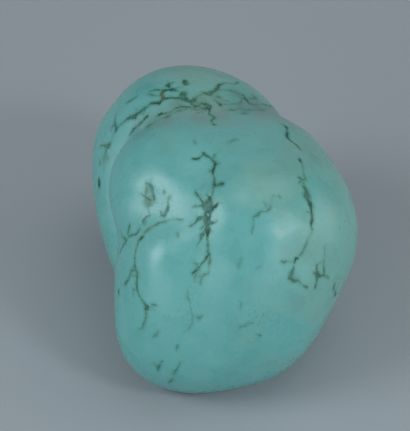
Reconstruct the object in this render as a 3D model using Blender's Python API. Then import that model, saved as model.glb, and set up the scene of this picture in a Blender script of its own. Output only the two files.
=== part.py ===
"""Raw turquoise nugget: one rounded, tumbled stone that rests on a worn flat base.

Two lumps grown together make the stone: a rear lump stands up behind, and a larger front lump
leans against it. They meet in a narrow seam. Each lump is a smooth union of a few ellipsoids,
called swells here, and shallow furrows run over the front lump where the veins have weathered.

The skin is an icosphere whose corners are moved out from the stone's heart onto that form.
+Z is up, the front lump faces -Y, and the origin is the bottom centre of the stone's box.
"""

import bmesh
import bpy
import numpy as np
from mathutils import Euler

MM = 0.001  # one millimetre, in metres

# Swells of each lump, in millimetres from the stone's heart and degrees about X, Y and Z.
REAR_SWELLS = {
    "crown": {"centre": (-2.5, 12.0, -0.5), "radii": (15.5, 15.0, 12.5), "turn": (-30, 60, 5)},
    "left flank": {"centre": (-11.2, 7.0, -4.0), "radii": (5.5, 14.5, 9.5), "turn": (30, -10, 10)},
}
FRONT_SWELLS = {
    "shoulder": {"centre": (0.0, 4.0, 2.5), "radii": (15.5, 13.5, 10.5), "turn": (20, 15, 20)},
    "right side": {"centre": (3.5, -1.0, 0.0), "radii": (13.5, 14.0, 13.0), "turn": (-15, -25, 0)},
    "brow": {"centre": (-0.5, -8.2, -5.8), "radii": (13.8, 9.5, 11.2), "turn": (5, -25, 15)},
    "left cheek": {"centre": (-6.8, -6.0, -2.0), "radii": (7.0, 9.0, 10.0), "turn": (0, 5, 0)},
    "right cheek": {"centre": (4.0, -4.0, -6.5), "radii": (9.0, 12.0, 11.0), "turn": (0, 10, -5)},
    "belly": {"centre": (0.0, 6.0, -8.0), "radii": (11.5, 13.0, 9.5), "turn": (0, 0, 0)},
}
REAR_BLEND = 3.0  # how widely swells melt together within each lump
FRONT_BLEND = 4.0

# The seam between the two lumps.
SEAM_BLEND = 1.6
SEAM_DEPTH = 0.55
SEAM_WIDTH = 1.3

# Low down the seam softens: from this height to that, into this blend.
SOFT_TOP = -5.0
SOFT_BOTTOM = -12.0
SOFT_BLEND = 7.0

# Furrows: the middle line of each, its depth and its half-width.
FURROWS = {
    "cheek": {
        "line": [(-4.0, -8.0, 9.5), (-8.5, -8.5, 7.5), (-10.5, -9.0, 6.0), (-11.0, -11.0, 3.5)],
        "depth": 0.1,
        "width": 2.0,
    },
    "middle": {
        "line": [(-2.5, -2.0, 12.5), (-2.0, -8.0, 10.0), (-2.5, -12.5, 6.0)],
        "depth": 0.2,
        "width": 1.8,
    },
    "waist": {
        "line": [(-2.0, -11.0, 8.0), (4.5, -12.0, 8.0), (12.0, -11.0, 4.5), (15.0, -7.5, -2.0)],
        "depth": 0.2,
        "width": 2.4,
    },
    "right": {
        "line": [(8.0, 4.0, 11.5), (9.5, -5.5, 11.0), (9.0, -11.5, 7.0)],
        "depth": 0.15,
        "width": 2.0,
    },
}

# Shallow swellings, and hollows of negative height: centre, height and half-width.
UNDULATIONS = {
    "left shoulder hollow": {"centre": (-9.0, -5.5, 9.0), "height": -0.45, "width": 3.5},
    "upper left swelling": {"centre": (-6.5, -3.5, 11.5), "height": 0.25, "width": 3.5},
    "top swelling": {"centre": (1.0, -6.5, 12.0), "height": 0.3, "width": 5.0},
    "top rear hollow": {"centre": (5.5, 4.5, 12.5), "height": -0.3, "width": 5.0},
    "middle swelling": {"centre": (-3.0, -10.0, 7.5), "height": 0.45, "width": 2.5},
    "middle lower swelling": {"centre": (-1.5, -11.5, 6.5), "height": 0.25, "width": 2.5},
    "top right swelling": {"centre": (7.0, -7.5, 11.0), "height": 0.2, "width": 3.5},
    "upper right hollow": {"centre": (7.0, -9.0, 10.5), "height": -0.35, "width": 2.5},
    "lower right hollow": {"centre": (10.0, -11.5, 5.0), "height": -0.45, "width": 3.5},
    "front hollow": {"centre": (-3.0, -17.0, -2.5), "height": -0.6, "width": 5.0},
}

# The worn base: its depth below the heart, and how far the wear rounds its rim.
BASE_DEPTH = 15.9
BASE_RIM = 0.5

# The skin's fineness, and the search along each ray from the heart.
SPHERE_SUBDIVISIONS = 5  # 5120 triangles
REACH = 45.0
HALVINGS = 30

TURQUOISE = (0.122, 0.342, 0.300)
GLOSS_ROUGHNESS = 0.35


def clear_scene():
    for obj in list(bpy.data.objects):
        bpy.data.objects.remove(obj)


def swell_distance(points, swell):
    """Approximate distance to an ellipsoid's surface, negative inside."""
    turn = np.array(Euler(np.radians(swell["turn"])).to_matrix())
    local = (points - np.array(swell["centre"])) @ turn
    radii = np.array(swell["radii"])
    scaled = np.linalg.norm(local / radii, axis=1)
    slope = np.linalg.norm(local / radii**2, axis=1)
    return scaled * (scaled - 1.0) / np.maximum(slope, 1e-9)


def melt(first, second, width):
    """The smaller of two distances, with the corner between them rounded over width."""
    overlap = np.maximum(width - np.abs(first - second), 0.0) / width
    return np.minimum(first, second) - overlap**3 * width / 6.0


def lump_distance(points, swells, blend):
    distances = [swell_distance(points, swell) for swell in swells.values()]
    lump = distances[0]
    for distance in distances[1:]:
        lump = melt(lump, distance, blend)
    return lump


def line_distance(points, line):
    """Distance to the nearest of a line's straight runs."""
    corners = np.array(line)
    nearest = np.full(len(points), np.inf)
    for start, end in zip(corners[:-1], corners[1:]):
        run = end - start
        along = np.clip((points - start) @ run / (run @ run), 0.0, 1.0)
        away = np.linalg.norm(points - start - along[:, None] * run, axis=1)
        nearest = np.minimum(nearest, away)
    return nearest


def stone_distance(points):
    """Distance to the stone's skin, negative inside the stone."""
    rear = lump_distance(points, REAR_SWELLS, REAR_BLEND)
    front = lump_distance(points, FRONT_SWELLS, FRONT_BLEND)
    low = np.clip((SOFT_TOP - points[:, 2]) / (SOFT_TOP - SOFT_BOTTOM), 0.0, 1.0)
    soft = low**2 * (3.0 - 2.0 * low)
    stone = melt(rear, front, SEAM_BLEND + (SOFT_BLEND - SEAM_BLEND) * soft)
    stone += SEAM_DEPTH * (1.0 - soft) * np.exp(-(((rear - front) / SEAM_WIDTH) ** 2))
    for furrow in FURROWS.values():
        across = line_distance(points, furrow["line"]) / furrow["width"]
        stone += furrow["depth"] * np.exp(-(across**2))
    for undulation in UNDULATIONS.values():
        away = np.linalg.norm(points - np.array(undulation["centre"]), axis=1) / undulation["width"]
        stone -= undulation["height"] * np.exp(-(away**2))
    return stone


def skin_points(directions):
    """Where rays from the heart leave the stone, found by halving."""
    inner = np.zeros(len(directions))
    outer = np.full(len(directions), REACH)
    for _ in range(HALVINGS):
        middle = (inner + outer) / 2.0
        inside = stone_distance(directions * middle[:, None]) < 0.0
        inner = np.where(inside, middle, inner)
        outer = np.where(inside, outer, middle)
    return directions * inner[:, None]


def wear_base(points):
    """Flattens what lies below the base plane and rounds the rim of the flat."""
    height = points[:, 2] + BASE_DEPTH
    rim = (height + BASE_RIM) ** 2 / (4.0 * BASE_RIM)
    worn = np.where(height < BASE_RIM, rim, height)
    worn[height <= -BASE_RIM] = 0.0
    return np.column_stack((points[:, :2], worn))


def turquoise_material():
    material = bpy.data.materials.new("turquoise")
    material.use_nodes = True
    shader = material.node_tree.nodes["Principled BSDF"]
    shader.inputs["Base Color"].default_value = (*TURQUOISE, 1.0)
    shader.inputs["Roughness"].default_value = GLOSS_ROUGHNESS
    shader.inputs["Metallic"].default_value = 0.0
    return material


def make_nugget(collection):
    mesh = bpy.data.meshes.new("nugget")
    skin = bmesh.new()
    bmesh.ops.create_icosphere(skin, subdivisions=SPHERE_SUBDIVISIONS, radius=1.0)
    directions = np.array([vert.co.normalized() for vert in skin.verts])
    points = wear_base(skin_points(directions))
    middle = (points.min(axis=0) + points.max(axis=0)) / 2.0
    points[:, :2] -= middle[:2]
    for vert, point in zip(skin.verts, points * MM):
        vert.co = point
    skin.normal_update()
    skin.to_mesh(mesh)
    skin.free()
    mesh.shade_smooth()
    mesh.materials.append(turquoise_material())
    nugget = bpy.data.objects.new("nugget", mesh)
    collection.objects.link(nugget)
    return nugget


def main():
    clear_scene()
    collection = bpy.data.collections.new("raw turquoise nugget")
    bpy.context.scene.collection.children.link(collection)
    make_nugget(collection)


main()
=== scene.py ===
"""Raw turquoise nugget: its looks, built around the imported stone.

The visible stone repeats the form of the CAD solid on a much finer skin, in millimetres from the
stone's heart, and is then moved into the frame. Matrix veins are lines that run on the skin: each
corner of the skin keeps how far it lies from the nearest vein's edge, and the material and a
shallow weathering follow that. Front veins are routes given in the photograph's pixels, cast onto
the skin through the camera. The hidden sides carry veins of the same kind, grown from a fixed seed.
"""

import math

import bmesh
import bpy
import numpy as np
from mathutils import Euler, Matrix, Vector


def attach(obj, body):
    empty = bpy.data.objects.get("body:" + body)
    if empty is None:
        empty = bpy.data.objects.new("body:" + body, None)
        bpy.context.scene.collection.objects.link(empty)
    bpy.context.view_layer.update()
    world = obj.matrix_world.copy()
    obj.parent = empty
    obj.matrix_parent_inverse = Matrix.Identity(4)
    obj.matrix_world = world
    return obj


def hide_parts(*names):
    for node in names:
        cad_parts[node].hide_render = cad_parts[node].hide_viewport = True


MM = 0.001  # one millimetre, in metres

# -------- the form, as in the CAD solid

# Each lump's swells: centre, radii, and turn in degrees.
REAR_SWELLS = {
    "crown": ((-2.5, 12.0, -0.5), (15.5, 15.0, 12.5), (-30, 60, 5)),
    "left flank": ((-11.2, 7.0, -4.0), (5.5, 14.5, 9.5), (30, -10, 10)),
}
FRONT_SWELLS = {
    "shoulder": ((0.0, 4.0, 2.5), (15.5, 13.5, 10.5), (20, 15, 20)),
    "right side": ((3.5, -1.0, 0.0), (13.5, 14.0, 13.0), (-15, -25, 0)),
    "brow": ((-0.5, -8.2, -5.8), (13.8, 9.5, 11.2), (5, -25, 15)),
    "left cheek": ((-6.8, -6.0, -2.0), (7.0, 9.0, 10.0), (0, 5, 0)),
    "right cheek": ((4.0, -4.0, -6.5), (9.0, 12.0, 11.0), (0, 10, -5)),
    "belly": ((0.0, 6.0, -8.0), (11.5, 13.0, 9.5), (0, 0, 0)),
}
REAR_BLEND = 3.0  # how widely swells melt together within each lump
FRONT_BLEND = 4.0
SEAM_BLEND = 1.6
SEAM_DEPTH = 0.55
SEAM_WIDTH = 1.3
SOFT_TOP = -5.0  # from this height down to the next the seam softens
SOFT_BOTTOM = -12.0
SOFT_BLEND = 7.0

# Furrows: depth, half-width and middle line.
FURROWS = {
    "cheek": (0.1, 2.0, [(-4.0, -8.0, 9.5), (-8.5, -8.5, 7.5), (-10.5, -9.0, 6.0), (-11.0, -11.0, 3.5)]),
    "middle": (0.2, 1.8, [(-2.5, -2.0, 12.5), (-2.0, -8.0, 10.0), (-2.5, -12.5, 6.0)]),
    "waist": (0.2, 2.4, [(-2.0, -11.0, 8.0), (4.5, -12.0, 8.0), (12.0, -11.0, 4.5), (15.0, -7.5, -2.0)]),
    "right": (0.15, 2.0, [(8.0, 4.0, 11.5), (9.5, -5.5, 11.0), (9.0, -11.5, 7.0)]),
}

# Swellings, and hollows of negative height: centre, height and half-width.
UNDULATIONS = {
    "left shoulder hollow": ((-9.0, -5.5, 9.0), -0.45, 3.5),
    "upper left swelling": ((-6.5, -3.5, 11.5), 0.25, 3.5),
    "top swelling": ((1.0, -6.5, 12.0), 0.3, 5.0),
    "top rear hollow": ((5.5, 4.5, 12.5), -0.3, 5.0),
    "middle swelling": ((-3.0, -10.0, 7.5), 0.45, 2.5),
    "middle lower swelling": ((-1.5, -11.5, 6.5), 0.25, 2.5),
    "top right swelling": ((7.0, -7.5, 11.0), 0.2, 3.5),
    "upper right hollow": ((7.0, -9.0, 10.5), -0.35, 2.5),
    "lower right hollow": ((10.0, -11.5, 5.0), -0.45, 3.5),
    "front hollow": ((-3.0, -17.0, -2.5), -0.6, 5.0),
}

BASE_DEPTH = 15.9  # the flat base's depth below the heart
BASE_RIM = 0.5  # how far the wear rounds its rim
REACH = 45.0  # how far from the heart the skin is looked for
HALVINGS = 24  # of that length, to find it
ROUGH_HALVINGS = 12
SLOPE_STEP = 0.05
TINY = 1e-9  # keeps a division from zero


def swell_distance(points, swell):
    """Approximate distance to an ellipsoid's surface, negative inside."""
    centre, radii, turn = swell
    radii = np.array(radii)
    local = (points - np.array(centre)) @ np.array(Euler(np.radians(turn)).to_matrix())
    scaled = np.linalg.norm(local / radii, axis=1)
    slope = np.linalg.norm(local / radii**2, axis=1)
    return scaled * (scaled - 1.0) / np.maximum(slope, TINY)


def melt(first, second, width):
    """The smaller of two distances, with the corner between them rounded over width."""
    overlap = np.maximum(width - np.abs(first - second), 0.0) / width
    return np.minimum(first, second) - overlap**3 * width / 6.0


def lump_distance(points, swells, blend):
    distances = [swell_distance(points, swell) for swell in swells.values()]
    lump = distances[0]
    for distance in distances[1:]:
        lump = melt(lump, distance, blend)
    return lump


def run_distance(points, start, end):
    """How far along a straight run each point lies, from 0 to 1, and how far off it."""
    run = end - start
    along = np.clip((points - start) @ run / max(run @ run, TINY), 0.0, 1.0)
    return along, np.linalg.norm(points - start - along[:, None] * run, axis=1)


def line_distance(points, line):
    """Distance to the nearest of a line's straight runs."""
    corners = np.array(line)
    return np.min([run_distance(points, *ends)[1] for ends in zip(corners, corners[1:])], axis=0)


def both_lumps(points):
    """Distances to the rear lump and to the front lump."""
    rear = lump_distance(points, REAR_SWELLS, REAR_BLEND)
    front = lump_distance(points, FRONT_SWELLS, FRONT_BLEND)
    return rear, front


def stone_distance(points):
    """Distance to the stone's skin, negative inside the stone."""
    rear, front = both_lumps(points)
    low = np.clip((SOFT_TOP - points[:, 2]) / (SOFT_TOP - SOFT_BOTTOM), 0.0, 1.0)
    soft = low**2 * (3.0 - 2.0 * low)
    stone = melt(rear, front, SEAM_BLEND + (SOFT_BLEND - SEAM_BLEND) * soft)
    stone += SEAM_DEPTH * (1.0 - soft) * np.exp(-(((rear - front) / SEAM_WIDTH) ** 2))
    for depth, width, line in FURROWS.values():
        stone += depth * np.exp(-((line_distance(points, line) / width) ** 2))
    for centre, height, width in UNDULATIONS.values():
        away = np.linalg.norm(points - np.array(centre), axis=1) / width
        stone -= height * np.exp(-(away**2))
    return stone


def skin_points(directions, halvings=HALVINGS):
    """Where rays from the heart leave the stone, found by halving."""
    inner = np.zeros(len(directions))
    outer = np.full(len(directions), REACH)
    for _ in range(halvings):
        middle = (inner + outer) / 2.0
        inside = stone_distance(directions * middle[:, None]) < 0.0
        inner = np.where(inside, middle, inner)
        outer = np.where(inside, outer, middle)
    return directions * inner[:, None]


def wear_base(points):
    """Flattens what lies below the base plane and rounds the rim of the flat."""
    height = points[:, 2] + BASE_DEPTH
    rim = (height + BASE_RIM) ** 2 / (4.0 * BASE_RIM)
    worn = np.where(height < BASE_RIM, rim, height)
    worn[height <= -BASE_RIM] = 0.0
    return np.column_stack((points[:, :2], worn - BASE_DEPTH))


def onto_skin(points):
    """Moves points to the skin along the ray from the heart."""
    directions = points / np.linalg.norm(points, axis=1)[:, None]
    return skin_points(directions)


def skin_normals(points):
    """Outward directions of the form at points, from its slope."""
    slopes = []
    for step in np.eye(3) * SLOPE_STEP:
        slopes.append(stone_distance(points + step) - stone_distance(points - step))
    normals = np.column_stack(slopes)
    return normals / np.linalg.norm(normals, axis=1)[:, None]


# -------- the camera

FRAME_SIZE = (410, 431)
HEART_PIXEL = (225.0, 230.0)  # where the stone's heart shows in the frame
ELEVATION = math.radians(42.0)
LENS = 180.0
SENSOR = 36.0
PIXELS_PER_MM = 7.8
FOCAL_PIXELS = LENS / SENSOR * FRAME_SIZE[1]
CAMERA_DISTANCE = FOCAL_PIXELS / PIXELS_PER_MM  # millimetres from the heart
TO_CAMERA = Vector((0.0, -math.cos(ELEVATION), math.sin(ELEVATION)))
CAMERA_PLACE = TO_CAMERA * CAMERA_DISTANCE
PIXEL_CENTRE = 0.5
CAST_STEP = 0.5  # millimetres between the looks for the skin along a pixel's ray


def camera_turn():
    """The camera's rotation: the heart shows at its pixel, a little off the frame's centre."""
    up = Vector((0.0, math.sin(ELEVATION), math.cos(ELEVATION)))
    across = (FRAME_SIZE[0] / 2 - HEART_PIXEL[0]) / PIXELS_PER_MM
    rise = (HEART_PIXEL[1] - FRAME_SIZE[1] / 2) / PIXELS_PER_MM
    aim = Vector((across, 0.0, 0.0)) + up * rise
    return (aim - CAMERA_PLACE).to_track_quat("-Z", "Y")


def facing(points):
    """How squarely the skin at points faces the camera, from 1 down to -1."""
    return skin_normals(points) @ np.array(TO_CAMERA)


def cast(pixels):
    """The points of the skin that show at the given pixels."""
    turn = np.array(camera_turn().to_matrix())
    pixels = np.array(pixels, dtype=float) + PIXEL_CENTRE
    across = pixels[:, 0] - FRAME_SIZE[0] / 2
    rise = FRAME_SIZE[1] / 2 - pixels[:, 1]
    rays = np.column_stack((across, rise, np.full(len(pixels), -FOCAL_PIXELS))) @ turn.T
    rays /= np.linalg.norm(rays, axis=1)[:, None]
    start = np.array(CAMERA_PLACE)
    near = np.full(len(rays), CAMERA_DISTANCE - REACH)
    far = np.full(len(rays), np.nan)
    for reach in np.arange(CAMERA_DISTANCE - REACH, CAMERA_DISTANCE + REACH, CAST_STEP):
        outside = np.isnan(far) & (stone_distance(start + rays * reach) > 0.0)
        entering = np.isnan(far) & ~outside
        near[outside] = reach
        far[entering] = reach
    if np.isnan(far).any():
        raise ValueError(f"pixels off the stone: {pixels[np.isnan(far)].tolist()}")
    for _ in range(HALVINGS):
        middle = (near + far) / 2.0
        inside = stone_distance(start + rays * middle[:, None]) < 0.0
        far = np.where(inside, middle, far)
        near = np.where(inside, near, middle)
    return start + rays * far[:, None]


# -------- matrix veins

# A vein's tone, from green-black to rust.
DARK = 0.0
OLIVE = 0.5
RUST = 1.0

# How strongly it shows.
FAINT = 0.4
SOFT = 0.7
FULL = 1.0

# Veins that the camera sees: tone, strength, then points as (pixel x, pixel y, width in pixels).
FRONT_VEINS = {
    # rear lump, above the seam
    "rear hook": (DARK, FULL, (168, 87, 2), (167, 84, 4), (169, 83, 3), (172, 82, 2)),
    "rear dot": (DARK, FULL, (183.5, 79.5, 2.5), (184.5, 81, 5), (184.8, 84, 5), (188, 83, 1.5)),
    "rust node": (RUST, FULL, (162, 90, 3.5), (162, 94, 4), (163, 99, 3.5)),
    "node right": (DARK, FULL, (163, 91, 4), (168, 89, 3.5), (173, 89.5, 3), (178, 91.5, 1.4)),
    "node patch": (DARK, SOFT, (180, 94.5, 2.5), (183, 93, 4), (184, 96, 6), (186, 99, 4),
        (188, 101, 2.5)),
    "node left": (DARK, SOFT, (161, 95, 1.5), (154, 95.5, 2), (148, 94.5, 1.5)),
    "node left hook": (DARK, SOFT, (147, 94, 1.5), (149, 91, 2.2), (152, 89.5, 2), (160, 89, 2)),
    "rear sweep": (DARK, FULL, (163, 98, 3.5), (161, 100, 3), (159, 102.5, 4), (155, 102.5, 2.5),
        (150, 103, 2.5), (147, 106, 2.5), (144, 107, 3), (140, 110, 2.5), (136, 112, 3), (133.5, 115, 4),
        (128, 117.5, 2.5), (124, 121, 1.5), (120, 124, 2), (117, 127, 1.5)),
    "node lower right": (DARK, FULL, (164, 98, 3), (171, 97, 2), (176, 97, 2.5), (183, 98, 5),
        (189, 100, 3), (193, 99, 5)),
    "rear twig": (DARK, SOFT, (193, 99, 3), (197, 96, 2), (200, 94, 1.5), (203, 93, 2.5)),
    "rear to notch": (OLIVE, FULL, (190, 100, 2), (192, 104, 3), (196, 106, 3), (202, 104, 3.5),
        (209, 106, 5)),
    "rear mesh": (OLIVE, FAINT, (193, 101, 3), (198, 103.5, 4), (204, 105.5, 4)),
    "notch lines": (OLIVE, SOFT, (192, 107, 1.5), (196, 109, 2), (202, 110, 2), (207, 108, 2)),
    "notch drop": (DARK, FULL, (209, 107, 3), (208.5, 110, 1.8), (208.5, 113, 2.5), (211.5, 115, 2.2),
        (214.5, 117, 2), (211.5, 120, 2), (212, 122, 1.2), (214, 124, 3)),
    "rear right": (OLIVE, FULL, (203, 92, 3), (209, 94, 5), (213, 91, 3), (217, 88, 4.5), (219, 85, 3),
        (222, 83, 2), (229, 83, 1.5), (234, 84, 1.5), (238, 82, 2)),
    "rear right second": (DARK, SOFT, (216, 90, 1.5), (222, 90, 1.5), (229, 90, 2), (236, 92, 1.5),
        (241, 95, 2)),
    "rear blob": (DARK, FULL, (215, 100, 1), (218, 102, 2), (220, 104, 4.5)),
    "rear speck": (DARK, SOFT, (217, 96, 2), (219, 97, 1.5)),
    "rear dash": (DARK, SOFT, (224, 100, 2), (227, 100, 1.5)),
    "right run": (DARK, FULL, (242, 94, 2), (245.6, 98.5, 2.5), (249, 103.5, 1.8), (254, 104.2, 1.3),
        (260, 104, 1.3), (265, 104.5, 1.8), (269, 105.5, 1.8), (273, 107, 2.2)),
    "right run low": (DARK, SOFT, (242, 98, 1.2), (241, 101.5, 1.8), (236, 103, 1.8), (232, 103.5, 1.6),
        (226, 104, 1.5), (221, 104, 1.8)),
    "right dash": (OLIVE, SOFT, (249, 98, 2), (255, 97, 2.5)),
    "seam right upper": (OLIVE, SOFT, (223.6, 110, 1.4), (232, 109.5, 1.8), (241, 108.6, 1.8),
        (252, 110, 1.8), (263, 109.6, 1.5), (270, 107.5, 1.4)),
    "seam right dash": (OLIVE, SOFT, (240, 113, 1.5), (244, 113.3, 2.5), (248, 113, 1.5)),
    "seam line": (DARK, FULL, (156, 116.5, 1.5), (159, 114, 2.5), (165, 113, 2.2), (170, 111, 2),
        (172, 109, 1.5), (177, 107.5, 2), (184, 106.2, 2), (192, 106.2, 2.5), (200, 107, 2),
        (207, 107.5, 2.5)),
    "seam line low": (OLIVE, SOFT, (166, 116, 1), (171, 114, 1.5), (176, 110.5, 1.8), (184, 108.2, 2),
        (193, 108.8, 2), (207, 109.2, 2)),
    "seam brown": (RUST, SOFT, (148, 126, 2.5), (152, 122.5, 1), (155, 120, 1.5), (160, 118, 1.2),
        (165, 116.5, 2), (168, 115, 2.2), (172, 113.3, 1.5)),
    "seam brown upper": (RUST, FAINT, (150, 121, 1), (156, 118.5, 1.5), (163, 115.5, 1.5),
        (168, 113, 1.2)),
    "seam dark end": (DARK, FULL, (146, 126, 2), (148, 125, 3.5), (150, 124, 2)),
    "left line": (DARK, FULL, (129, 135, 1.4), (131, 132, 1.7), (133, 129, 2.3), (137, 125, 1.8),
        (140, 123, 2.8), (143, 121, 1.8), (144, 119, 3), (147, 115, 2.2)),
    "flank line": (DARK, FULL, (115, 115, 1.5), (114.5, 121, 1.8), (115.5, 126, 2.5), (116, 128.5, 4.5),
        (114, 133, 1.5)),
    "flank fall": (OLIVE, FAINT, (114, 134, 1.4), (112, 139, 2), (109, 143, 2)),
    "flank knot": (OLIVE, SOFT, (109, 143, 2.4), (107, 146, 4.4), (103, 146, 1.5), (100, 146, 2.5)),
    "flank drop": (OLIVE, SOFT, (106, 148, 2), (104, 155, 2.5), (103, 160, 1.5)),
    "flank short": (DARK, FAINT, (107, 155, 2), (106, 158, 1.5)),
    "flank faint": (DARK, SOFT, (136, 96, 2), (130, 100, 2.5), (125, 103, 1)),
    "flank low": (DARK, SOFT, (99, 159, 1.5), (99, 163, 2.5)),
    "flank speck": (DARK, FAINT, (103, 166, 1.5), (103, 169, 1.5)),
    "rim dot": (DARK, FULL, (98, 177.5, 3), (98.4, 181, 6.5), (98.6, 184, 5.5), (98.6, 187, 3)),
    # front lump, the middle vein
    "head": (DARK, FULL, (192, 158, 1.8), (195, 158, 2.2), (198, 158, 2.6), (201, 156, 1.4), (203, 154, 3),
        (207, 156, 1.8)),
    "head turn": (DARK, FULL, (207, 156, 2), (210, 158, 1.5), (213, 160, 2.5), (215, 163, 4),
        (213, 167, 3), (212, 171, 2.5), (213, 175, 1.5), (214, 179, 2.5), (214, 184, 3)),
    "head barb": (OLIVE, SOFT, (215, 163, 3), (219, 163, 1.5)),
    "head thread": (DARK, FAINT, (214, 159, 1.5), (216, 153, 1), (221, 149, 1)),
    "head speck": (OLIVE, SOFT, (209, 169, 1.5), (209, 171, 2.5)),
    "neck barb": (DARK, FULL, (214, 184, 3), (217, 185, 2.5), (221, 184, 4), (223, 184, 1.5)),
    "neck": (DARK, SOFT, (213.5, 185, 2.4), (213, 190, 1.6), (211, 195, 2)),
    "trunk": (DARK, FULL, (209, 196.5, 3), (209.3, 199, 4.4), (209.5, 203, 2.2), (207.8, 207.5, 2.8),
        (206, 211, 4.2), (204.5, 214, 4.2), (206, 218, 4.5), (206.3, 222, 4.2), (207, 227, 4.2),
        (207.3, 232, 3.4), (207, 238, 1.6)),
    "trunk right edge": (DARK, FULL, (209.3, 199, 2.5), (211.6, 203, 2.4), (212, 207.5, 3),
        (209.5, 212, 2.6), (208.5, 218, 2.4)),
    "trunk heart": (DARK, SOFT, (208.3, 199.5, 3.5), (207.8, 203, 5), (207.2, 207, 5.6), (206, 211, 4.6)),
    "trunk stem": (DARK, SOFT, (202.5, 201.5, 3), (203, 205, 4), (206, 208, 3.2)),
    "trunk spur upper": (DARK, FULL, (195.5, 191.5, 2), (197, 193.5, 2.8), (200.4, 198, 2.2),
        (202.5, 201.7, 3)),
    "trunk loop": (DARK, FAINT, (198, 195, 1), (200, 189, 1), (205, 184, 1)),
    "trunk spur middle": (DARK, SOFT, (192, 207.3, 1.2), (196, 205.8, 2), (200, 205.8, 1.8),
        (203, 205, 2.5)),
    "trunk spur left": (DARK, FULL, (204, 216, 3), (200, 217.5, 2), (197.5, 218, 2.6), (195, 222, 1.6),
        (191.7, 225, 2.6), (189, 226, 1.5)),
    "trunk spur low": (DARK, SOFT, (204.5, 229.5, 2.2), (202, 233, 2.4), (200.5, 236, 2.8),
        (199.6, 240, 1.8), (196.7, 244.5, 1.4)),
    "trunk spur right": (DARK, FULL, (207.5, 210.5, 3.2), (211.7, 208.8, 3), (215.8, 205, 2.4),
        (217.7, 203, 1.3)),
    "trunk spur right low": (DARK, FULL, (207, 225, 3.8), (211.7, 223, 3.2), (214.5, 222.3, 2.2),
        (217, 220.2, 1)),
    "tail thread": (DARK, SOFT, (207, 236, 2.2), (207.5, 243, 2), (208, 250, 2.2)),
    "tail": (DARK, FULL, (207, 250, 2), (208, 253, 3), (206, 257, 2.2), (204, 261, 1.8), (200, 265, 1.8),
        (196, 269, 3), (192, 273, 2)),
    "tail root": (OLIVE, SOFT, (197, 268, 2.4), (195, 274, 2.4), (195, 281, 1.8)),
    "tail right": (OLIVE, SOFT, (208, 254, 2), (210, 260, 2), (208, 268, 1.5), (208, 273, 1.5),
        (203, 274, 2), (200, 278, 1.5), (200, 284, 1)),
    # front lump, the marks in the large highlight
    "cluster hook": (DARK, SOFT, (145.4, 182.5, 2.2), (148, 184, 2.8), (150.6, 188.3, 3.4),
        (152.2, 194, 3.2), (153, 198.3, 2.2)),
    "cluster stem": (DARK, FAINT, (146, 184, 2.2), (145.3, 190, 2.4), (145.4, 196, 2.2)),
    "cluster body": (OLIVE, FAINT, (147.5, 200, 2.5), (148.5, 205, 3.6), (147.5, 210, 2.8),
        (149, 214, 2)),
    "cluster spur": (DARK, SOFT, (140, 193, 1.8), (142.5, 195, 2.4), (145.4, 197, 3),
        (149.5, 199.3, 2.6)),
    "cluster heel": (DARK, SOFT, (149, 215, 2), (144.5, 216.5, 2.8), (143, 219, 3.2), (142.5, 222, 2.2)),
    "cluster dot": (DARK, SOFT, (163.7, 190, 1.5), (163.8, 192, 3)),
    "cluster dash": (DARK, FAINT, (156, 190, 1.5), (156, 192, 1.5)),
    "cluster right": (DARK, SOFT, (170, 195.5, 1.8), (168, 198, 2.4), (167.2, 205.8, 2), (166, 211.5, 2.8),
        (164.2, 215, 3.2), (161.7, 214.2, 2.6), (160.3, 211.5, 1.6)),
    "cluster low": (DARK, FAINT, (143, 222, 2), (145, 226, 1.5)),
    # front lump, the cheek vein
    "cheek brow": (OLIVE, SOFT, (182, 219, 2), (175, 218, 0.8), (168, 219, 1), (161, 221, 2),
        (157, 222, 2.5), (153, 224, 2), (149, 227, 2.5), (145, 231, 3)),
    "cheek knot": (DARK, FULL, (143, 234, 1.5), (142, 236, 2.5), (140, 237, 3.2), (138, 239, 2)),
    "cheek spur": (DARK, FULL, (139.2, 228.8, 2.2), (137, 232, 2.5), (135, 233.8, 2), (128, 235.4, 1.8)),
    "cheek fall": (DARK, FULL, (138, 239, 2), (137.5, 240.8, 1.6), (135.8, 245.8, 1.7), (134.6, 254, 1.9),
        (134.6, 261.7, 1.7), (135, 269, 2), (136.7, 272.5, 3), (136.7, 278.3, 2.2), (136.3, 288.3, 2.6)),
    "cheek end": (DARK, FULL, (136.3, 288.3, 2.6), (138.3, 295.8, 1.7), (142.5, 300.8, 1.9),
        (145.8, 305.8, 3.2), (145.3, 309, 1.8)),
    "cheek end low": (OLIVE, SOFT, (145.3, 309, 2), (146.2, 315, 2.2), (143.3, 322.5, 2.2),
        (142.5, 327.5, 1.6), (138.3, 329, 1.4)),
    "cheek twig": (DARK, SOFT, (136.3, 288.8, 2), (132.9, 289.2, 2), (132.9, 295.8, 1.3)),
    "cheek fork": (DARK, SOFT, (135, 269.8, 2.2), (130.8, 270, 2.8), (130.4, 273.3, 2.4),
        (128.3, 280, 2.1), (124.6, 284, 3)),
    "cheek fork rung": (DARK, SOFT, (130, 274, 1.5), (133, 275, 1.5), (136, 276, 1.5)),
    "cheek edge": (DARK, FULL, (129, 225, 2), (127.9, 230, 2), (127.5, 234.2, 1.4)),
    "cheek edge low": (DARK, SOFT, (124.2, 237.5, 1.8), (126.3, 240, 2.6), (121.7, 246.7, 2),
        (119.2, 252.5, 1.8)),
    "cheek edge thread": (DARK, SOFT, (120, 230, 1), (122, 236, 2), (126, 240, 2.5)),
    # front lump, the right arc
    "arc start": (DARK, FULL, (281, 123, 1.8), (283, 124.5, 2.2), (285.5, 126, 3.5), (287, 129, 1.8),
        (287, 131, 2)),
    "arc top": (DARK, FULL, (287, 131, 2), (286.3, 136, 4.2), (288, 139, 2.5), (292, 142, 1.5),
        (295, 143.8, 2), (299.5, 149, 2)),
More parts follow.
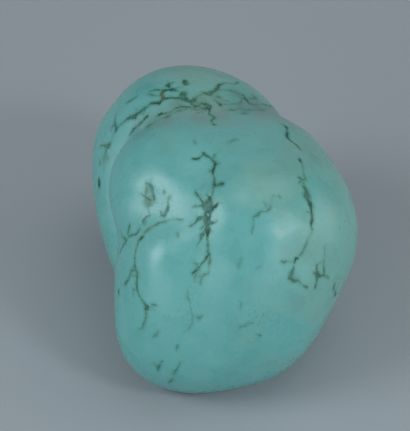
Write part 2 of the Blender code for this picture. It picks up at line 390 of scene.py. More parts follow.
    "arc dot": (DARK, FULL, (299, 158, 2), (300, 160, 3.5), (301, 162, 2)),
    "arc thread": (OLIVE, SOFT, (301, 162, 1), (303, 170, 1), (304, 176, 1.5)),
    "arc barb": (DARK, FULL, (298.9, 177, 2), (301.9, 179.5, 2.2), (305, 178.2, 2), (304.5, 175, 1.5)),
    "arc barb thread": (DARK, SOFT, (301.9, 179.5, 1.5), (303.6, 184, 2)),
    "arc barb low": (DARK, SOFT, (301.5, 180, 1.5), (299.3, 182.5, 1.5)),
    "arc body": (DARK, FULL, (303.6, 186, 2.8), (305, 189, 4.4), (306.7, 196, 4.2), (308.8, 202, 4.2),
        (310.1, 207.3, 3.4), (310.4, 211.6, 2.2), (311, 217.7, 3.4), (311.4, 221.1, 3.6), (311, 224.6, 2.2),
        (311.9, 229.8, 1.6)),
    "arc low": (OLIVE, SOFT, (311.9, 229.8, 1.3), (311, 233.3, 1.4), (307.1, 238.5, 1.4),
        (305.4, 243.7, 2.4), (303.6, 248, 2.2), (301, 253.2, 2.8), (298, 256.7, 1.3)),
    "arc knot": (DARK, FULL, (297, 258, 1.8), (295.8, 259.3, 2.8), (293.7, 261, 2.6),
        (293.2, 263.6, 1.3)),
    "arc twig": (DARK, SOFT, (281, 261, 2), (285, 260.6, 2.5), (287, 261, 1.2), (293.7, 261, 1.6)),
    "arc foot": (DARK, SOFT, (293.2, 263.6, 1.3), (293.2, 269.7, 2.6), (290.2, 274.9, 4),
        (289.8, 278.3, 3.6), (293.7, 280.5, 4.5), (298, 281, 2)),
    "arc foot end": (DARK, SOFT, (298, 281, 2), (302.3, 284.4, 1.5), (306.2, 287, 2.6)),
    # front lump, the three-pronged mark and the right edge
    "prong top": (DARK, FAINT, (323.6, 246, 2), (323.8, 250, 1.8), (323.6, 258.4, 2.2),
        (319.7, 261.9, 1.6), (317, 264.5, 2.2)),
    "prong left": (DARK, FULL, (317, 264.5, 2.4), (316.6, 269.7, 2.6), (317, 274.9, 4.8)),
    "prong right": (DARK, SOFT, (323.6, 260, 1.8), (324, 266, 2), (324, 269.7, 2.8), (323, 275.3, 2.4)),
    "prong cross": (DARK, FULL, (313.6, 272.3, 2.5), (316, 274.5, 4.2), (318.4, 276.2, 4), (323, 275.3, 2),
        (327.5, 277.9, 1.3)),
    "prong foot": (DARK, FULL, (317, 277, 2.5), (315.8, 281.8, 3), (314.9, 287, 2.4)),
    "right edge tick": (DARK, FULL, (334, 284, 2.5), (333, 288, 1.5), (334, 292, 2), (335, 295, 3)),
    # front lump, the zigzag between the middle vein and the right arc
    "zigzag top": (DARK, FAINT, (280, 197.5, 2), (279.2, 195, 2.6), (275.5, 195.5, 1), (272, 195, 1.6),
        (271, 200, 1.2), (270.2, 204, 1.6)),
    "zigzag": (DARK, SOFT, (270.2, 204, 1.6), (269.8, 207.4, 2.6), (266.9, 210.3, 1.8), (260.4, 211, 2),
        (258.2, 213.9, 3), (253.1, 217.5, 1.4)),
    "zigzag foot": (DARK, SOFT, (253.1, 217.5, 1.4), (252.4, 223.3, 1.3), (251.7, 229.8, 2.4),
        (251.5, 233, 1.2)),
    # front lump, small marks
    "mark 1": (DARK, FAINT, (193, 139, 1), (194, 141, 3), (195, 143, 1)),
    "mark 2": (DARK, SOFT, (228, 142, 1), (233, 140, 2.5), (238, 139, 1)),
    "mark 3": (OLIVE, FAINT, (238, 269, 1.5), (239.4, 264, 3), (241.5, 257, 1.5)),
    "mark 4": (OLIVE, FAINT, (256.8, 267.5, 2.5), (260.4, 265.3, 2.2)),
    "mark 5": (DARK, FAINT, (187, 290, 1.5), (187.7, 296.7, 2.4), (189.7, 304.5, 1.4), (191.6, 311, 1.3),
        (192.9, 315.5, 1.5), (192.3, 322.7, 2), (189, 328, 1.8), (184, 332, 1.4)),
    "mark 6": (DARK, FAINT, (193.5, 316.2, 1.4), (197.4, 317.5, 2.6), (201.4, 314.9, 1.8)),
    "mark 7": (DARK, FULL, (151.5, 304.5, 2), (155, 304.8, 2)),
    "mark 8": (DARK, FAINT, (157.8, 331, 2), (155.9, 334.4, 3), (153.3, 336.4, 1.6)),
    "mark 9": (DARK, FAINT, (177, 345, 2.2), (176.4, 347, 2.8), (176, 350.5, 1.5)),
    "mark 10": (DARK, SOFT, (162.4, 360.4, 2.2), (159.8, 363, 1.5), (158.5, 367, 2.8),
        (157.8, 370.2, 1.8)),
    "mark 11": (DARK, SOFT, (179.9, 361.7, 1.4), (176.7, 368.2, 1.7), (174, 371.5, 2.8),
        (173.1, 373.6, 1.6)),
    "mark 12": (DARK, SOFT, (172.8, 377.3, 1.5), (169.5, 381.2, 2.5), (168.2, 383.2, 1.5)),
    "mark 13": (DARK, FAINT, (177, 232, 2), (177, 236, 3)),
    "mark 14": (DARK, FAINT, (239.7, 301.3, 1.6), (241, 303.9, 2.4), (240.5, 308.4, 1.4)),
    "mark 15": (DARK, FAINT, (239.7, 326.6, 2.4), (246.9, 326, 1.4), (248.5, 322.5, 1.8),
        (252.7, 322, 1.8)),
    "mark 16": (DARK, SOFT, (258, 334, 1.6), (260, 335, 2.2)),
    "mark 17": (DARK, FULL, (118.3, 289, 2), (118.3, 291.5, 3.5), (118.3, 294, 2)),
}


# -------- growing the veins

SEED = 7
BLUR = 1.3  # pixels by which the photograph's blur widens a vein, summed in squares
THINNEST = 0.5  # pixels
VEIN_STEP = 0.2  # millimetres between the points of a vein
VEIN_WANDER = 0.06  # how far a vein strays from its route
WANDER_RUN = 4  # points from one stray to the next
VEIN_UNEVEN = 0.28  # how much its width varies
UNEVEN_RUN = 3  # the same for its width
ROUGHNESS = 0.25  # the rough part of every stray
THORN_SPACING = 0.7  # millimetres between thorns, at this half-width of the vein
THORN_USUAL_HALF = 0.2
THORN_MOST = 1.5  # how many times denser they are at most, where it is wider
THORN_LEAST_HALF = 0.08  # there are none where it is narrower
THORN_LENGTH = 0.3  # how far thorns reach past the vein's edge, on average
THORN_LEAN = (15.0, 80.0)  # degrees between a thorn and its vein
THORN_TIP = 0.03


def along_route(points, widths):
    """Even stations along a route's straight runs, with the half-width at each."""
    points = np.array(points)
    runs = np.linalg.norm(np.diff(points, axis=0), axis=1)
    reached = np.concatenate(([0.0], np.cumsum(runs)))
    stations = np.linspace(0.0, reached[-1], max(3, round(reached[-1] / VEIN_STEP) + 1))
    path = np.column_stack([np.interp(stations, reached, points[:, i]) for i in range(3)])
    return path, np.interp(stations, reached, widths) / 2.0


def wander(count, run, rng):
    """A random stray for each of count points, smooth over a run of them and rough between."""
    knots = rng.normal(size=(count // run + 2, 3))
    places = np.arange(count) / run
    smooth = np.column_stack([np.interp(places, range(len(knots)), knots[:, i]) for i in range(3)])
    return smooth + ROUGHNESS * rng.normal(size=(count, 3))


def make_strand(points, widths, tone, strength, rng):
    """One vein: points near the skin, half-widths, tone and strength."""
    path, half = along_route(points, widths)
    stray = wander(len(path), WANDER_RUN, rng) * VEIN_WANDER
    stray[0] = 0.0
    half = half * np.exp(VEIN_UNEVEN * wander(len(path), UNEVEN_RUN, rng)[:, 0])
    return {"path": path + stray, "half": half, "tone": tone, "strength": strength}


def settle(strands):
    """Moves the points of all strands onto the skin."""
    lengths = [len(strand["path"]) for strand in strands]
    points = onto_skin(np.concatenate([strand["path"] for strand in strands]))
    for strand, path in zip(strands, np.split(points, np.cumsum(lengths)[:-1])):
        strand["path"] = path


def make_thorns(strands, rng):
    """Short spurs that leave the wider veins sideways and taper out."""
    thorns = []
    for strand in strands:
        path = strand["path"]
        normals = skin_normals(path)
        for i in range(1, len(path) - 1):
            half = strand["half"][i]
            chance = VEIN_STEP / THORN_SPACING * min(half / THORN_USUAL_HALF, THORN_MOST)
            if half < THORN_LEAST_HALF or rng.random() > chance:
                continue
            ahead = path[i + 1] - path[i - 1]
            ahead /= np.linalg.norm(ahead)
            sideways = np.cross(normals[i], ahead) * rng.choice((-1.0, 1.0))
            lean = math.radians(rng.uniform(*THORN_LEAN))
            heading = ahead * math.cos(lean) * rng.choice((-1.0, 1.0)) + sideways * math.sin(lean)
            length = half + rng.exponential(THORN_LENGTH)
            route = [path[i], path[i] + heading * length]
            widths = [half, THORN_TIP]
            thorns.append(make_strand(route, widths, strand["tone"], strand["strength"], rng))
    settle(thorns)
    return thorns


def true_width(width):
    """A vein's width in millimetres, from its blurred width in pixels."""
    return math.sqrt(max(width**2 - BLUR**2, THINNEST**2)) / PIXELS_PER_MM


def front_strands(rng):
    """The veins that the camera sees."""
    routes = [route for tone, strength, *route in FRONT_VEINS.values()]
    points = cast([(x, y) for route in routes for x, y, width in route])
    starts = np.cumsum([len(route) for route in routes])[:-1]
    strands = []
    for (tone, strength, *route), place in zip(FRONT_VEINS.values(), np.split(points, starts)):
        widths = [true_width(width) for x, y, width in route]
        strands.append(make_strand(place, widths, tone, strength, rng))
    return strands


HIDDEN_VEINS = 24
HIDDEN_TRIES = 10  # places tried for each of them
HIDDEN_FACING = -0.05  # places that face the camera less are hidden
HIDDEN_HEIGHT = 1.0  # the least height above the base where one starts
HIDDEN_LENGTH = (3.0, 15.0)
HIDDEN_STRIDE = 0.9
HIDDEN_TURN = 38.0  # degrees turned at each stride, at random
HIDDEN_WIDEST = (0.15, 0.5)  # a vein's greatest width
HIDDEN_THINNEST = 0.08
PINCHED_WIDTH = 0.1  # its width where it doesn't swell
SWELL_SHARE = 0.5  # of its greatest width
TAPER_START = 0.15  # its taper is half a wave, cut short at both ends
TAPER_END = 0.1
FORK_WIDTH = 0.7  # as a share of the vein's
FEWEST_POINTS = 4


def hidden_starts(count, rng):
    """Points of the skin that the camera doesn't see, off the flat base."""
    points = onto_skin(rng.normal(size=(count * HIDDEN_TRIES, 3)))
    hidden = (facing(points) < HIDDEN_FACING) & (points[:, 2] > HIDDEN_HEIGHT - BASE_DEPTH)
    return points[hidden][:count]


def grow_routes(starts, strides, rng):
    """Jagged walks over the skin, one from each start, as strides x walks x 3 points."""
    place = starts
    heading = rng.normal(size=starts.shape)
    walks = [place]
    for _ in range(strides):
        normal = skin_normals(place)
        heading -= normal * (heading * normal).sum(axis=1)[:, None]
        heading /= np.linalg.norm(heading, axis=1)[:, None]
        turn = np.radians(rng.normal(0.0, HIDDEN_TURN, len(starts)))[:, None]
        heading = heading * np.cos(turn) + np.cross(normal, heading) * np.sin(turn)
        place = onto_skin(place + heading * HIDDEN_STRIDE)
        walks.append(place)
    return np.array(walks)


def route_widths(count, widest, rng):
    """Widths that swell and pinch along a vein and taper at its ends."""
    swell = np.abs(wander(count, UNEVEN_RUN, rng)[:, 0])
    taper = np.sin(np.linspace(TAPER_START, math.pi - TAPER_END, count)) ** 0.5
    widths = PINCHED_WIDTH + widest * SWELL_SHARE * swell
    return np.clip(widths, HIDDEN_THINNEST, widest) * taper


def hidden_part(strand):
    """A strand cut off where the camera begins to see it."""
    seen = np.flatnonzero(facing(onto_skin(strand["path"])) > 0.0)
    end = seen[0] if len(seen) else len(strand["path"])
    return {**strand, "path": strand["path"][:end], "half": strand["half"][:end]}


def hidden_strands(rng):
    """Random veins on the hidden sides. The longer ones fork a third of the way along."""
    shortest, longest = HIDDEN_LENGTH
    strides = round(longest / HIDDEN_STRIDE)
    walks = grow_routes(hidden_starts(HIDDEN_VEINS, rng), strides, rng)
    forks = grow_routes(walks[strides // 3], strides // 2, rng)
    strands = []
    for i in range(HIDDEN_VEINS):
        count = round(rng.uniform(shortest, longest) / HIDDEN_STRIDE) + 1
        widest = rng.uniform(*HIDDEN_WIDEST)
        tone = rng.choice((DARK, DARK, OLIVE))
        strength = rng.choice((SOFT, FULL))
        widths = route_widths(count, widest, rng)
        strands.append(make_strand(walks[:count, i], widths, tone, strength, rng))
        if count > strides // 2:
            widths = route_widths(len(forks), widest * FORK_WIDTH, rng)
            strands.append(make_strand(forks[:, i], widths, tone, strength, rng))
    strands = [hidden_part(strand) for strand in strands]
    return [strand for strand in strands if len(strand["path"]) >= FEWEST_POINTS]


def all_strands(rng):
    """Every vein and thorn, settled on the skin, and the hidden veins once more."""
    hidden = hidden_strands(rng)
    strands = front_strands(rng) + hidden
    settle(strands)
    return strands + make_thorns(strands, rng), hidden


# -------- patches

# Patches that the camera sees, by kind: pixel x, pixel y, radius in pixels, strength.
FRONT_PATCHES = {
    "stain": {
        "rear network": (178, 104, 10, 1.0),
        "rear network right": (198, 101, 10, 1.0),
        "rear node": (184, 93, 5, 0.9),
        "right of the notch": (217, 98, 9, 0.8),
        "seam right": (240, 106, 10, 0.9),
        "seam far right": (260, 108, 10, 0.8),
        "rear right": (234, 93, 12, 0.8),
        "rear right rim": (256, 99, 10, 0.7),
        "seam left": (152, 123, 7, 0.5),
        "below the notch": (211, 115, 6, 0.6),
        "flank": (105, 160, 8, 0.5),
        "flank node": (109, 144, 5, 0.7),
        "trunk": (207, 204, 7, 0.5),
        "trunk low": (206, 220, 7, 0.45),
        "tail root": (197, 275, 5, 0.6),
        "arc foot": (292, 278, 7, 0.6),
        "cluster": (149, 202, 6.5, 1.0),
        "cluster top": (147.5, 190, 4.5, 0.9),
        "cheek brow": (150, 227, 6, 0.5),
        "prongs": (316, 274, 6, 0.5),
        "right edge": (338, 200, 14, 0.4),
        "mid right": (275, 205, 10, 0.3),
    },
    # pale spots: on the front, painted highlights where the lamps' gloss lies on the flank, along the seam,
    # on the shoulder, at the top and at the upper right; on the hidden sides, random pale spots of the
    # stone
    "pale_spots_and_highlights": {
        "flank streak": (109, 133, 4.5, 1.0),
        "flank streak low": (106, 141, 3, 0.6),
        "seam left end": (142, 127, 5, 0.8),
        "flank seam": (117, 150, 6, 0.6),
        "flank ridge": (107, 197, 4, 0.5),
        "flank ridge low": (108, 212, 4, 0.5),
        "top": (243, 195, 8, 0.8),
        "upper right": (320, 170, 11, 0.5),
        "shoulder": (164, 199, 11, 0.7),
        "shoulder left": (133, 206, 7, 1.0),
    },
    "pitting": {
        "shoulder": (162, 199, 14, 1.0),
        "shoulder top": (150, 184, 8, 0.8),
        "shoulder foot": (137, 222, 8, 0.8),
        "far left": (126, 178, 6, 0.7),
        "right spot": (284, 229, 6, 0.6),
        "right edge": (326, 200, 5, 0.7),
        "lower front": (256, 322, 26, 0.6),
        "lower left": (185, 312, 20, 0.45),
    },
}
PATCH_STRIDE = 5  # points of a hidden vein between places for patches
PATCH_FACING = -0.3  # places that face the camera more carry none
PATCH_SHARE = 0.2  # of the other places, the share that carries one
PATCH_RADIUS = (0.6, 1.6)
PATCH_STRENGTH = (0.4, 1.0)


def front_patches(spots):
    """Centres, radii and strengths of patches that the camera sees."""
    centres = cast([(x, y) for x, y, radius, strength in spots.values()])
    patches = []
    for centre, (x, y, radius, strength) in zip(centres, spots.values()):
        patches.append((centre, radius / PIXELS_PER_MM, strength))
    return patches


def hidden_patches(hidden, rng):
    """Random patches along the hidden veins, clear of what the camera sees."""
    patches = []
    for strand in hidden:
        centres = onto_skin(strand["path"][::PATCH_STRIDE])
        for centre in centres[facing(centres) < PATCH_FACING]:
            if rng.random() < PATCH_SHARE:
                patches.append((centre, rng.uniform(*PATCH_RADIUS), rng.uniform(*PATCH_STRENGTH)))
    return patches


# -------- what the skin keeps

GAP_LIMIT = 1.5  # distances to veins are kept up to this
FULL_HALF_WIDTH = 0.15  # a vein with this half-width shows with all its strength
THIN_SHARE = 0.6  # and the thinnest vein with this share of it
SEAM_STAIN_WIDTH = 1.0
SEAM_STAIN_SHIFT = 0.2  # towards the rear lump


def mark_veins(points, strands):
    """For each point: how far outside the nearest vein's edge it is, its tone and its strength."""
    gap = np.full(len(points), GAP_LIMIT)
    tone = np.zeros(len(points))
    strength = np.zeros(len(points))
    for strand in strands:
        path, half = strand["path"], strand["half"]
        low = path.min(axis=0) - GAP_LIMIT
        high = path.max(axis=0) + GAP_LIMIT
        close = np.flatnonzero(((points > low) & (points < high)).all(axis=1))
        near = points[close]
        for start, end, first, last in zip(path[:-1], path[1:], half[:-1], half[1:]):
            along, away = run_distance(near, start, end)
            away -= first + (last - first) * along
            nearer = away < gap[close]
            chosen = close[nearer]
            share = THIN_SHARE + (1.0 - THIN_SHARE) * min(first / FULL_HALF_WIDTH, 1.0)
            gap[chosen] = away[nearer]
            tone[chosen] = strand["tone"]
            strength[chosen] = strand["strength"] * share
    return gap, tone, strength


def mark_patches(points, patches):
    """For each point: how strongly the patch there shows."""
    mark = np.zeros(len(points))
    for centre, radius, strength in patches:
        away = np.linalg.norm(points - centre, axis=1) / radius
        mark = np.maximum(mark, strength * np.exp(-(away**2)))
    return mark


def mark_seam(points):
    """For each point: how strongly the seam's band shows: its grey stain, and on the left flank a pale
    strip that is partly stone colour and partly a painted highlight along the seam's lip.
    """
    rear, front = both_lumps(points)
    return np.exp(-(((rear - front + SEAM_STAIN_SHIFT) / SEAM_STAIN_WIDTH) ** 2))


# -------- the stone's mesh

COARSE_SUBDIVISIONS = 7
FINE_BANDS = (0.2, 0.06)  # each pass splits the triangles this close to a vein's edge
VEIN_RECESS = 0.03
RECESS_BAND = 0.2  # the strip along a vein's edge over which its recess deepens


def sphere_directions(skin):
    """Directions of the skin's corners while it is still a sphere."""
    directions = np.array([vert.co for vert in skin.verts])
    return directions / np.linalg.norm(directions, axis=1)[:, None]


def split_near_veins(skin, strands, band):
    """Splits the sphere's triangles that will lie within band of a vein's edge."""
    gap = mark_veins(skin_points(sphere_directions(skin), ROUGH_HALVINGS), strands)[0]
    skin.verts.ensure_lookup_table()
    edges = set()
    for face in skin.faces:
        if min(gap[vert.index] for vert in face.verts) < band:
            edges.update(face.edges)
    bmesh.ops.subdivide_edges(skin, edges=list(edges), cuts=1, use_grid_fill=True)
    bmesh.ops.triangulate(skin, faces=[face for face in skin.faces if len(face.verts) > 3])
    for vert in skin.verts:
        vert.co.normalize()
    skin.verts.index_update()


def recess_veins(points, gap, strength):
    """Lowers the skin a little along its veins."""
    depth = np.clip(0.5 - gap / RECESS_BAND, 0.0, 1.0) * strength * VEIN_RECESS
    return points - skin_normals(points) * depth[:, None]


def add_object(name, data):
    added = bpy.data.objects.new(name, data)
    bpy.context.scene.collection.objects.link(added)
    return added


def add_attribute(mesh, name, values):
    attribute = mesh.attributes.new(name, "FLOAT", "POINT")
    attribute.data.foreach_set("value", np.asarray(values, dtype=np.float32))


def make_stone():
    """The stone, and where its heart is from the origin, in millimetres."""
    rng = np.random.default_rng(SEED)
    strands, hidden = all_strands(rng)
    patches = {}
    for kind, spots in FRONT_PATCHES.items():
        patches[kind] = front_patches(spots) + hidden_patches(hidden, rng)
    skin = bmesh.new()
    bmesh.ops.create_icosphere(skin, subdivisions=COARSE_SUBDIVISIONS, radius=1.0)
    for band in FINE_BANDS:
        split_near_veins(skin, strands, band)
    points = skin_points(sphere_directions(skin))
    gap, tone, strength = mark_veins(points, strands)
    marks = {"vein_gap": gap, "vein_tone": tone, "vein_strength": strength, "seam": mark_seam(points)}
    for kind, spots in patches.items():
        marks[kind] = mark_patches(points, spots)
    points = wear_base(recess_veins(points, gap, strength))
    middle = (points.min(axis=0) + points.max(axis=0)) / 2.0
    heart = Vector((-middle[0], -middle[1], BASE_DEPTH))
    for vert, point in zip(skin.verts, points):
        vert.co = (Vector(point) + heart) * MM
    mesh = bpy.data.meshes.new("turquoise_stone")
    skin.normal_update()
    skin.to_mesh(mesh)
    skin.free()
    for name, values in marks.items():
        add_attribute(mesh, name, values)
    mesh.shade_smooth()
    return add_object("turquoise_stone", mesh), heart


# -------- materials

# Noises: how far across their blotches are in millimetres, their detail and their roughness.
NOISES = {
    "clouds": (9.0, 3.0, 0.5),
    "blotches": (2.6, 2.0, 0.45),
    "fading": (1.3, 2.0, 0.5),
    "grain": (0.5, 4.0, 0.6),
    "flecks": (0.35, 2.0, 0.6),
    "ragged": (0.28, 4.0, 0.75),
}
NOISE_MIDDLE = 0.5

# Ramps: each maps a value between its first two numbers smoothly onto its last two.
RAMPS = {
    # greener or bluer, by place in millimetres
    "right side": (2.0, 15.0, -0.12, 0.16),
    "rear": (3.0, 13.0, 0.0, 0.14),
    "left side": (-16.0, -3.0, -0.22, 0.0),
    "top": (8.0, 24.0, -0.1, 0.02),
    # shares of a colour, by noise
    "green": (0.38, 0.62, 0.0, 1.0),
    "pale blotches": (0.5, 0.8, 0.0, 0.35),
    "deep blotches": (0.5, 0.2, 0.0, 0.3),
    "pale grain": (0.3, 0.75, 0.0, 0.18),
    "stained": (0.15, 0.85, 0.0, 0.9),
    "seam_band_share": (0.3, 0.7, 0.35, 0.85),
    # the share of pale turquoise in the pale spots, which on the front are painted highlights
    "pale_spot_and_highlight_share": (0.3, 0.7, 0.7, 1.0),
    "specks": (0.6, 0.7, 0.0, 1.0),
    # by X in millimetres, from pale turquoise on the left flank, partly a painted highlight along the
    # seam's lip, to the seam's grey stain
    "seam_deposit_and_lip_highlight": (-12.5, -10.0, 0.0, 1.0),
    # parts of a vein, by millimetres outside its edge
    "halo": (0.45, 0.0, 0.0, 0.65),
    "body": (0.08, -0.06, 0.0, 1.0),
    "core": (-0.14, -0.26, 0.0, 1.0),
    # a vein's filling, by noise and tone
    "fading": (0.35, 0.6, 0.65, 1.0),
    "greened": (0.35, 0.65, 0.0, 0.6),
    "olive core": (0.45, 0.65, 0.0, 0.15),
    "browned": (0.25, 0.75, 0.0, 1.0),
    "rusted": (0.5, 1.0, 0.0, 1.0),
    # roughness by noise, and the grain's relief by millimetres from a vein
    "gloss": (0.3, 0.7, 0.25, 0.34),
    "dulled": (0.15, 0.85, 0.0, 0.6),
    "grain near veins": (1.0, 0.1, 0.05, 0.35),
}
GREENING_AXES = {"right side": "X", "rear": "Y", "left side": "X", "top": "Z"}
RAGGED_REACH = 0.6  # millimetres between the extremes of a vein's ragged edge
SPECK_SHARE = 0.5  # at most
MATT_ROUGHNESS = 0.65  # of veins
RELIEF = 0.09  # of grain and pits, in millimetres


class Nodes:
    """Short ways to add and join the nodes of one material."""

    def __init__(self, name):
        self.material = bpy.data.materials.new(name)
        self.material.use_nodes = True
        self.tree = self.material.node_tree
        self.shader = self.tree.nodes["Principled BSDF"]

    def put(self, node, inputs):
        """Joins outputs to a node's inputs, or sets the inputs to plain values."""
        for key, value in inputs.items():
            if isinstance(value, bpy.types.NodeSocket):
                self.tree.links.new(value, node.inputs[key])
            else:
                node.inputs[key].default_value = value

    def add(self, kind, inputs, **settings):
        node = self.tree.nodes.new(kind)
        for key, value in settings.items():
            setattr(node, key, value)
        self.put(node, inputs)
        return node

    def attribute(self, name):
        return self.add("ShaderNodeAttribute", {}, attribute_name=name).outputs["Fac"]

    def noise(self, place, name):
        """The noise of that name, between 0 and 1."""
        size, detail, roughness = NOISES[name]
        inputs = {"Vector": place, "Scale": 1.0 / (size * MM), "Detail": detail, "Roughness": roughness}
        return self.add("ShaderNodeTexNoise", inputs).outputs["Fac"]

    def math(self, operation, first, second):
        return self.add("ShaderNodeMath", {0: first, 1: second}, operation=operation).outputs[0]

    def about_zero(self, noise):
        return self.math("SUBTRACT", noise, NOISE_MIDDLE)

    def ramp(self, value, name, unit=1.0):
        """Value mapped by the ramp of that name."""
        low, high, start, end = RAMPS[name]
        inputs = {"Value": value, "From Min": low * unit, "From Max": high * unit}
        inputs.update({"To Min": start, "To Max": end})
        return self.add("ShaderNodeMapRange", inputs, interpolation_type="SMOOTHSTEP").outputs["Result"]

    def mix(self, factor, first, second, kind="RGBA"):
        inputs = {"Factor": factor, "A": first, "B": second}
        return self.add("ShaderNodeMix", inputs, data_type=kind).outputs["Result"]

    def bump(self, strength, height):
        inputs = {"Strength": strength, "Height": height, "Distance": RELIEF * MM}
        return self.add("ShaderNodeBump", inputs)


def rgb(red, green, blue):
    """A colour as it shows on a screen, with parts from 11 to 255, made linear by the sRGB curve."""
    return tuple(((part / 255.0 + 0.055) / 1.055) ** 2.4 for part in (red, green, blue)) + (1.0,)


BLUE_TURQUOISE = rgb(102, 177, 173)
GREEN_TURQUOISE = rgb(116, 173, 163)
PALE_TURQUOISE = rgb(132, 192, 188)
DEEP_TURQUOISE = rgb(78, 152, 150)
VEIN_BLACK = rgb(18, 74, 62)
VEIN_GREEN = rgb(46, 116, 102)
VEIN_OLIVE = rgb(84, 122, 102)
VEIN_RUST = rgb(86, 100, 76)
VEIN_HALO = rgb(76, 140, 112)
STAIN = rgb(98, 149, 135)
SEAM_STAIN = rgb(117, 141, 138)


def turquoise_colour(nodes, place, sides, blotches, grain):
    """Turquoise, bluer and greener by turns, with pale and deep blotches."""
    greening = nodes.noise(place, "clouds")
    for name, axis in GREENING_AXES.items():
        greening = nodes.math("ADD", greening, nodes.ramp(sides[axis], name, MM))
    colour = nodes.mix(nodes.ramp(greening, "green"), BLUE_TURQUOISE, GREEN_TURQUOISE)
    colour = nodes.mix(nodes.ramp(blotches, "pale blotches"), colour, PALE_TURQUOISE)
    colour = nodes.mix(nodes.ramp(blotches, "deep blotches"), colour, DEEP_TURQUOISE)
    return nodes.mix(nodes.ramp(grain, "pale grain"), colour, PALE_TURQUOISE)


def add_patches(nodes, colour, sides, blotches, flecks, stain, pitting):
    """The colour with stains, the seam's band, pale spots and dark specks in pits. The pale spots are
    painted highlights on the front and random pale spots on the hidden sides; the seam's band is a grey
    deposit, and on the left flank it is pale, partly a painted highlight along the seam's lip.
    """
    colour = nodes.mix(nodes.ramp(stain, "stained"), colour, STAIN)
    # the seam's band: grey deposit in the crease, pale on the left flank, partly a painted highlight along
    # the seam's lip
    seam_deposit_and_lip_highlight = nodes.mix(nodes.ramp(sides["X"], "seam_deposit_and_lip_highlight", MM), PALE_TURQUOISE, SEAM_STAIN)
    seam_band_share = nodes.math("MULTIPLY", nodes.attribute("seam"), nodes.ramp(blotches, "seam_band_share"))
    colour = nodes.mix(seam_band_share, colour, seam_deposit_and_lip_highlight)
    # pale spots: painted highlights on the front, random pale spots on the hidden sides
    pale_spot_and_highlight_share = nodes.math("MULTIPLY", nodes.attribute("pale_spots_and_highlights"), nodes.ramp(blotches, "pale_spot_and_highlight_share"))
    colour = nodes.mix(pale_spot_and_highlight_share, colour, PALE_TURQUOISE)
    pitted = nodes.math("MINIMUM", pitting, SPECK_SHARE)
    specks = nodes.math("MULTIPLY", nodes.ramp(flecks, "specks"), pitted)
    return nodes.mix(specks, colour, VEIN_GREEN)


def add_veins(nodes, colour, edge, showing, body, flecks):
    """The colour with the veins: a green halo, and a dark or brown filling with an olive core."""
    tone = nodes.attribute("vein_tone")
    dark = nodes.mix(nodes.ramp(flecks, "greened"), VEIN_BLACK, VEIN_GREEN)
    brown = nodes.mix(nodes.ramp(tone, "rusted"), VEIN_OLIVE, VEIN_RUST)
    browned = nodes.ramp(nodes.math("ADD", tone, nodes.about_zero(flecks)), "browned")
    filling = nodes.mix(browned, dark, brown)
    core = nodes.math("MULTIPLY", nodes.ramp(edge, "core"), nodes.ramp(flecks, "olive core"))
    filling = nodes.mix(core, filling, VEIN_OLIVE)
    halo = nodes.math("MULTIPLY", nodes.ramp(edge, "halo"), showing)
    return nodes.mix(body, nodes.mix(halo, colour, VEIN_HALO), filling)


def stone_material():
    nodes = Nodes("tumbled_turquoise")
    place = nodes.add("ShaderNodeTexCoord", {}).outputs["Object"]
    sides = nodes.add("ShaderNodeSeparateXYZ", {"Vector": place}).outputs
    blotches = nodes.noise(place, "blotches")
    grain = nodes.noise(place, "grain")
    flecks = nodes.noise(place, "flecks")
    gap = nodes.attribute("vein_gap")
    pitting = nodes.attribute("pitting")
    stain = nodes.math("ADD", nodes.attribute("stain"), nodes.about_zero(blotches))

    ragged = nodes.math("MULTIPLY", nodes.about_zero(nodes.noise(place, "ragged")), RAGGED_REACH)
    edge = nodes.math("ADD", gap, ragged)
    fading = nodes.ramp(nodes.noise(place, "fading"), "fading")
    showing = nodes.math("MULTIPLY", nodes.attribute("vein_strength"), fading)
    body = nodes.math("MULTIPLY", nodes.ramp(edge, "body"), showing)

    colour = turquoise_colour(nodes, place, sides, blotches, grain)
    colour = add_patches(nodes, colour, sides, blotches, flecks, stain, pitting)
    colour = add_veins(nodes, colour, edge, showing, body, flecks)

    dulled = nodes.math("MAXIMUM", body, nodes.ramp(stain, "dulled"))
    roughness = nodes.mix(dulled, nodes.ramp(blotches, "gloss"), MATT_ROUGHNESS, "FLOAT")

    grained = nodes.bump(nodes.ramp(gap, "grain near veins"), grain)
    relief = nodes.bump(pitting, flecks)
    nodes.put(relief, {"Normal": grained.outputs["Normal"]})
    surface = {"Base Color": colour, "Roughness": roughness, "Normal": relief.outputs["Normal"]}
    nodes.put(nodes.shader, surface)
    return nodes.material


# -------- the studio, in metres and watts

CLIP_START = 0.01
WORLD_STRENGTH = 0.03
DAYLIGHT = (0.93, 0.97, 1.0)
FLOOR_SIZE = 3.0
FLOOR_GREY = rgb(166, 174, 180)
FLOOR_ROUGHNESS = 0.9
FLOOR_SPECULAR = 0.1

# Square lamps: direction from the heart, distance, size and power.
LIGHTS = {
    "left_softbox": ((-0.75, -0.25, 0.62), 0.45, 0.20, 0.64),
    "right_softbox": ((0.62, -0.51, 0.60), 0.45, 0.09, 0.38),
    "top_panel": ((0.0, 0.0, 1.0), 0.8, 0.9, 0.95),
    "top_right_panel": ((0.4, 0.2, 1.0), 0.8, 0.6, 0.80),
    "front_left_panel": ((-0.6, -0.8, 0.12), 0.7, 0.6, 1.7),
    "front_right_panel": ((0.6, -0.8, 0.12), 0.7, 0.6, 1.6),
    "left_panel": ((-1.0, 0.0, 0.15), 0.7, 0.6, 0.6),
    "right_panel": ((1.0, 0.0, 0.15), 0.7, 0.6, 1.8),
    "back_panel": ((0.0, 1.0, 0.4), 0.7, 0.6, 0.4),
}


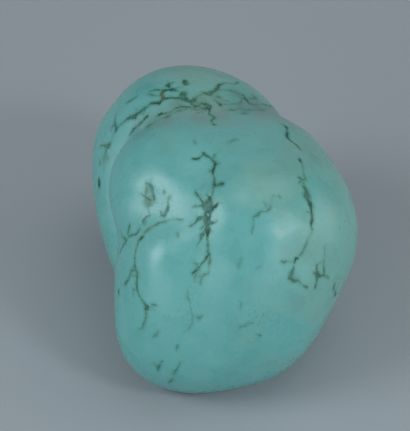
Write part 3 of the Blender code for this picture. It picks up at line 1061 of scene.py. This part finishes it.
def floor_material():
    nodes = Nodes("studio_floor")
    surface = {"Base Color": FLOOR_GREY, "Roughness": FLOOR_ROUGHNESS}
    nodes.put(nodes.shader, {**surface, "Specular IOR Level": FLOOR_SPECULAR})
    return nodes.material


def add_floor():
    mesh = bpy.data.meshes.new("studio_floor")
    floor_mesh = bmesh.new()
    bmesh.ops.create_grid(floor_mesh, x_segments=1, y_segments=1, size=FLOOR_SIZE / 2)
    floor_mesh.to_mesh(mesh)
    floor_mesh.free()
    mesh.materials.append(floor_material())
    add_object("studio_floor", mesh)


def add_lamp(name, direction, distance, size, power, heart):
    direction = Vector(direction).normalized()
    light = bpy.data.lights.new(name, "AREA")
    light.shape = "SQUARE"
    light.size = size
    light.energy = power
    light.color = DAYLIGHT
    lamp = add_object(name, light)
    lamp.location = heart * MM + direction * distance
    lamp.rotation_euler = direction.to_track_quat("Z", "Y").to_euler()


def add_world():
    world = bpy.data.worlds.new("studio")
    world.use_nodes = True
    background = world.node_tree.nodes["Background"]
    background.inputs["Color"].default_value = (*DAYLIGHT, 1.0)
    background.inputs["Strength"].default_value = WORLD_STRENGTH
    bpy.context.scene.world = world


def add_camera(heart):
    data = bpy.data.cameras.new("camera")
    data.lens = LENS
    data.sensor_width = SENSOR
    data.clip_start = CLIP_START
    camera = add_object("camera", data)
    camera.location = (heart + CAMERA_PLACE) * MM
    camera.rotation_euler = camera_turn().to_euler()
    bpy.context.scene.camera = camera


# -------- the scene

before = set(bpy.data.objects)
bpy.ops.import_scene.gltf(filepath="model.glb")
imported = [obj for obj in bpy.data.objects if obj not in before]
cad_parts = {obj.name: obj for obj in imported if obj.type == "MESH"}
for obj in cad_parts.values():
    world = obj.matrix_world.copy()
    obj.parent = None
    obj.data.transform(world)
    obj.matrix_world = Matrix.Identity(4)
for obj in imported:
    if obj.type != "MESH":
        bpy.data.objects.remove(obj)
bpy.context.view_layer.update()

stone, heart = make_stone()
stone.data.materials.append(stone_material())
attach(stone, "root")
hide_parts("nugget")

add_camera(heart)
add_floor()
for name, settings in LIGHTS.items():
    add_lamp(name, *settings, heart)
add_world()
bpy.context.scene.view_settings.view_transform = "Standard"
